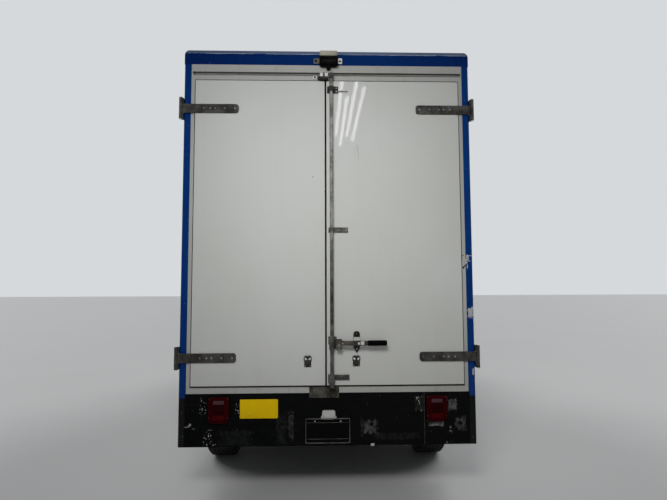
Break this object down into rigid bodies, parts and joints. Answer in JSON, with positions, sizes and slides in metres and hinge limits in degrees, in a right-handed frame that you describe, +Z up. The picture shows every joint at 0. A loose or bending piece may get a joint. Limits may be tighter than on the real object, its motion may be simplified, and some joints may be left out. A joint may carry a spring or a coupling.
{
  "type": "box truck",
  "caption": "Cutaway van chassis with a tall box body, full-height rear barn doors on strap hinges, cab doors, bonnet and steered front wheels.",
  "frame": {"origin": "on the ground, under the middle of the truck's whole box", "axes": "+Z up, +Y towards the front of the truck, +X to its right"},
  "size_m": [2.46, 5.7999, 3.226],
  "materials": {
    "blue_paint": "gloss blue paint",
    "white_panel": "gloss white",
    "roof_sheet": "painted sheet",
    "floor_board": "worn hardwood boards on steel",
    "black_panel": "scuffed black paint",
    "plated_steel": "galvanised",
    "red_lamp": "red lens",
    "sign_face": "blank plates",
    "camera_plastic": "satin",
    "chassis_black": "chassis paint",
    "engine_iron": "cast",
    "radiator_core": "finned",
    "tank_black": "moulded",
    "exhaust_steel": "heat stained",
    "cab_paint": "gloss white",
    "bumper_plastic": "grained",
    "lamp_glass": "clear lens",
    "window_glass": "tinted",
    "trim_plastic": "grained",
    "seat_cloth": "woven",
    "wheel_steel": "silver paint",
    "tyre": "rubber"
  },
  "bodies": {
    "chassis": {"box_floor": "floor_board", "box_roof": "roof_sheet", "box_walls": "white_panel", "cab_shell": "cab_paint", "corner_posts": "blue_paint", "crossmembers": "chassis_black", "dashboard": "trim_plastic", "edge_rails": "blue_paint", "engine_block": "engine_iron", "exhaust_pipe": "exhaust_steel", "frame_rails": "chassis_black", "front_axle": "chassis_black", "front_bumper": "bumper_plastic", "front_fenders": "cab_paint", "fuel_tank": "tank_black", "grille": "bumper_plastic", "headlamps": "lamp_glass", "hinge_brackets": "plated_steel", "leaf_springs": "chassis_black", "lock_keepers": "plated_steel", "radiator": "radiator_core", "rear_apron": "black_panel", "rear_axle": "chassis_black", "rear_camera": "camera_plastic", "rear_frame": "white_panel", "seats": "seat_cloth", "side_skirts": "black_panel", "sign_plates": "sign_face", "tail_lamps": "red_lamp", "windscreen": "window_glass"},
    "steering_knuckle_left": {"steering_knuckle_left": "chassis_black"},
    "steering_knuckle_right": {"steering_knuckle_right": "chassis_black"},
    "front_wheel_left": {"front_wheel_left": "wheel_steel", "front_tyre_left": "tyre"},
    "front_wheel_right": {"front_wheel_right": "wheel_steel", "front_tyre_right": "tyre"},
    "rear_wheel_left": {"rear_wheel_left": "wheel_steel", "rear_tyre_left": "tyre"},
    "rear_wheel_right": {"rear_wheel_right": "wheel_steel", "rear_tyre_right": "tyre"},
    "steering_wheel": {"steering_wheel": "trim_plastic"},
    "cab_door_left": {"cab_door_left": "cab_paint", "door_glass_left": "window_glass", "mirror_left": "bumper_plastic"},
    "cab_door_right": {"cab_door_right": "cab_paint", "door_glass_right": "window_glass", "mirror_right": "bumper_plastic"},
    "bonnet": {"bonnet": "cab_paint"},
    "rear_door_left": {"rear_door_left": "white_panel", "hinge_straps_left": "plated_steel", "door_hasp": "plated_steel"},
    "rear_door_right": {"rear_door_right": "white_panel", "hinge_straps_right": "plated_steel", "lock_gear": "plated_steel"}
  },
  "joints": [
    {"name": "steer_left", "type": "hinge", "parent": "chassis", "child": "steering_knuckle_left", "pos_m": [-0.754, 2.1, 0.387], "axis": [0, 0, 1], "range_deg": [-35, 35]},
    {"name": "steer_right", "type": "hinge", "parent": "chassis", "child": "steering_knuckle_right", "pos_m": [0.754, 2.1, 0.387], "axis": [0, 0, 1], "range_deg": [-35, 35]},
    {"name": "steering_wheel_turn", "type": "hinge", "parent": "chassis", "child": "steering_wheel", "pos_m": [-0.42, 1.25, 1.33], "axis": [0, -0.866, 0.5], "range_deg": [-525, 525]},
    {"name": "front_wheel_left_spin", "type": "hinge", "parent": "steering_knuckle_left", "child": "front_wheel_left", "pos_m": [-0.87, 2.1, 0.387], "axis": [-1, 0, 0], "continuous": true},
    {"name": "front_wheel_right_spin", "type": "hinge", "parent": "steering_knuckle_right", "child": "front_wheel_right", "pos_m": [0.87, 2.1, 0.387], "axis": [-1, 0, 0], "continuous": true},
    {"name": "rear_wheel_left_spin", "type": "hinge", "parent": "chassis", "child": "rear_wheel_left", "pos_m": [-0.886, -1.858, 0.387], "axis": [-1, 0, 0], "continuous": true},
    {"name": "rear_wheel_right_spin", "type": "hinge", "parent": "chassis", "child": "rear_wheel_right", "pos_m": [0.886, -1.858, 0.387], "axis": [-1, 0, 0], "continuous": true},
    {"name": "cab_door_left_swing", "type": "hinge", "parent": "chassis", "child": "cab_door_left", "pos_m": [-0.996, 1.565, 1], "axis": [0, 0, -1], "range_deg": [0, 65]},
    {"name": "cab_door_right_swing", "type": "hinge", "parent": "chassis", "child": "cab_door_right", "pos_m": [0.996, 1.565, 1], "axis": [0, 0, 1], "range_deg": [0, 65]},
    {"name": "bonnet_lift", "type": "hinge", "parent": "chassis", "child": "bonnet", "pos_m": [0, 1.911, 1.329], "axis": [1, 0, 0], "range_deg": [0, 60]},
    {"name": "rear_door_left_swing", "type": "hinge", "parent": "chassis", "child": "rear_door_left", "pos_m": [-1.068, -2.838, 1.87], "axis": [0, 0, -1], "range_deg": [0, 250]},
    {"name": "rear_door_right_swing", "type": "hinge", "parent": "chassis", "child": "rear_door_right", "pos_m": [1.068, -2.838, 1.87], "axis": [0, 0, 1], "range_deg": [0, 250]}
  ],
  "couplings": [
    {"joint": "steer_right", "follows": "steer_left", "ratio": 1},
    {"joint": "steering_wheel_turn", "follows": "steer_left", "ratio": 15}
  ]
}
